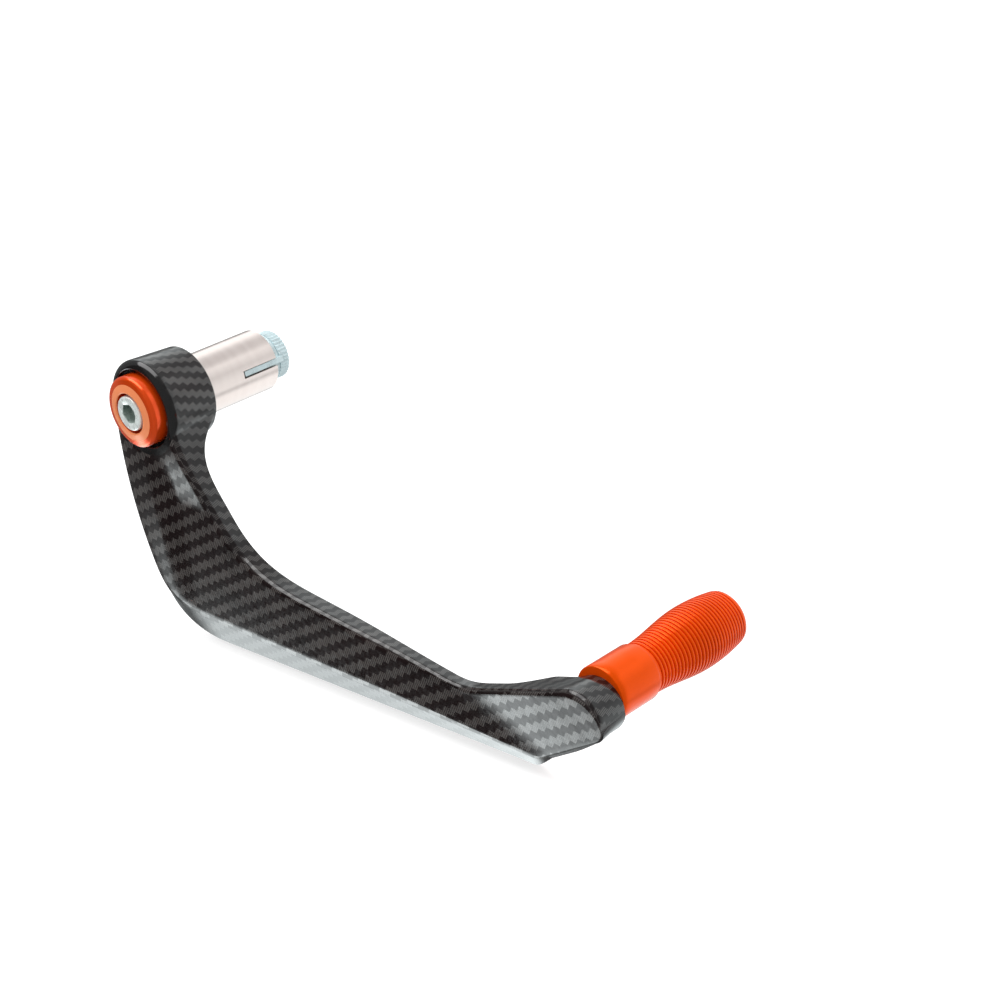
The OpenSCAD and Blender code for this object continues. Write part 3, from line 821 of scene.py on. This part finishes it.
def dress(node, material):
    """Gives a CAD node its finish and leaves its mesh as it is."""
    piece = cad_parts[node]
    piece.data.materials.clear()
    piece.data.materials.append(material)


dress("sleeve", bare_aluminium())


# Cone nut: zinc plated steel, a taper with three keys that sit in the sleeve's slots, and a
# knurled ring behind it. The bolt's thread pulls it into the sleeve.
dress("cone_nut", plated("blue_zinc", (0.72, 0.86, 0.89), 0.3).material)


# Grip: turned from aluminium bar and anodised orange. A plain collar, a neck, then a belly with
# turned grooves all along it; a hidden screw from the free end holds it to the tip.
COLLAR_R, NECK_R, BELLY_R, END_R = 7.5, 6.85, 8.6, 7.45
GRIP_LEN, RIBS_START, RIBS = 47.2, 14.7, 28
SCREW_HOLE_R, POCKET_R, POCKET_DEEP = 2.65, 4.4, 6.5


def grip_finish():
    """Dyed oxide over turned aluminium: metal of the dye's colour under a clear film, with
    faint rings from turning in its gloss."""
    r = Recipe("orange_grip_anodise", Metallic=0.38, Roughness=0.25, Coat_Weight=0.06,
               Coat_Roughness=0.2, Specular_IOR_Level=0.15)
    tint = (1.0, 0.092, 0.0)
    dark = tuple(0.86 * k for k in tint)
    r.to("Base Color", r.ramp(r.noise(r.place(), 60, 2), [(0.3, dark), (0.7, tint)]))
    rings = r.noise(r.place(), 700, 3, (0.15, 1, 0.15))
    r.to("Roughness", r.levels(rings, (0.3, 0.16), (0.7, 0.24)))
    return r.material


def belly(t):
    """Radius over the ribs at a share t of the ribbed length: half a cosine swell to the
    fattest point at 0.62, then a square fall to the end."""
    return np.where(t < 0.62, mix(NECK_R, BELLY_R, (1 - np.cos(np.pi * t / 0.62)) / 2),
                    mix(BELLY_R, END_R, (np.clip(t - 0.62, 0, 1) / 0.38) ** 2))


def grip_section():
    """Closed section of the grip from the bore over the collar, ribs and free end."""
    span = GRIP_LEN - RIBS_START - 1
    ribs_end = RIBS_START + span
    pts = [[SCREW_HOLE_R, 0.2], [SCREW_HOLE_R + 0.25, 0]]
    pts += [[COLLAR_R - 0.5, 0], [COLLAR_R - 0.15, 0.12], [COLLAR_R, 0.4]]
    pts += [[COLLAR_R, y] for y in (3, 6, 9, 13.1)]
    pts += [[COLLAR_R - 0.08, 13.4], [COLLAR_R - 0.4, 13.6], [NECK_R + 0.01, 14.1], [NECK_R - 0.01, 14.4]]
    t = (np.arange(RIBS)[:, None] + np.array([0, 0.07, 0.11, 0.31, 0.35, 0.42, 0.6, 0.82])) / RIBS
    cut = np.array([0, 0.65, 0.85, 0.85, 0.65, 0, -0.06, -0.06])
    pts += np.stack([belly(t) - cut, RIBS_START + t * span], -1).reshape(-1, 2).tolist()
    pts += [[END_R, ribs_end], [END_R - 0.12, ribs_end + 0.45]]
    pts += [[END_R - 0.5, GRIP_LEN - 0.12], [END_R - 0.9, GRIP_LEN]]
    pts += [[POCKET_R + 0.3, GRIP_LEN], [POCKET_R, GRIP_LEN - 0.3]]
    pts += [[POCKET_R, GRIP_LEN - POCKET_DEEP], [SCREW_HOLE_R, GRIP_LEN - POCKET_DEEP]]
    return np.array(pts, float) + [0, TIP_BACK]


as_piece("grip_turned", [lathe_shell(grip_section(), 160, (GRIP_X, GRIP_Z))], grip_finish(),
         "root", "grip", 30)


# Grip fixing: a zinc plated M5 cap screw down the grip's bore, into a threaded brass bush that
# is pressed into the tip. Both are hidden, and a guess.
dress("grip_screw", plated("zinc_plate", (0.93, 1.0, 0.97), 0.26).material)
dress("grip_insert", plated("bush_brass", (0.78, 0.58, 0.24), 0.3).material)
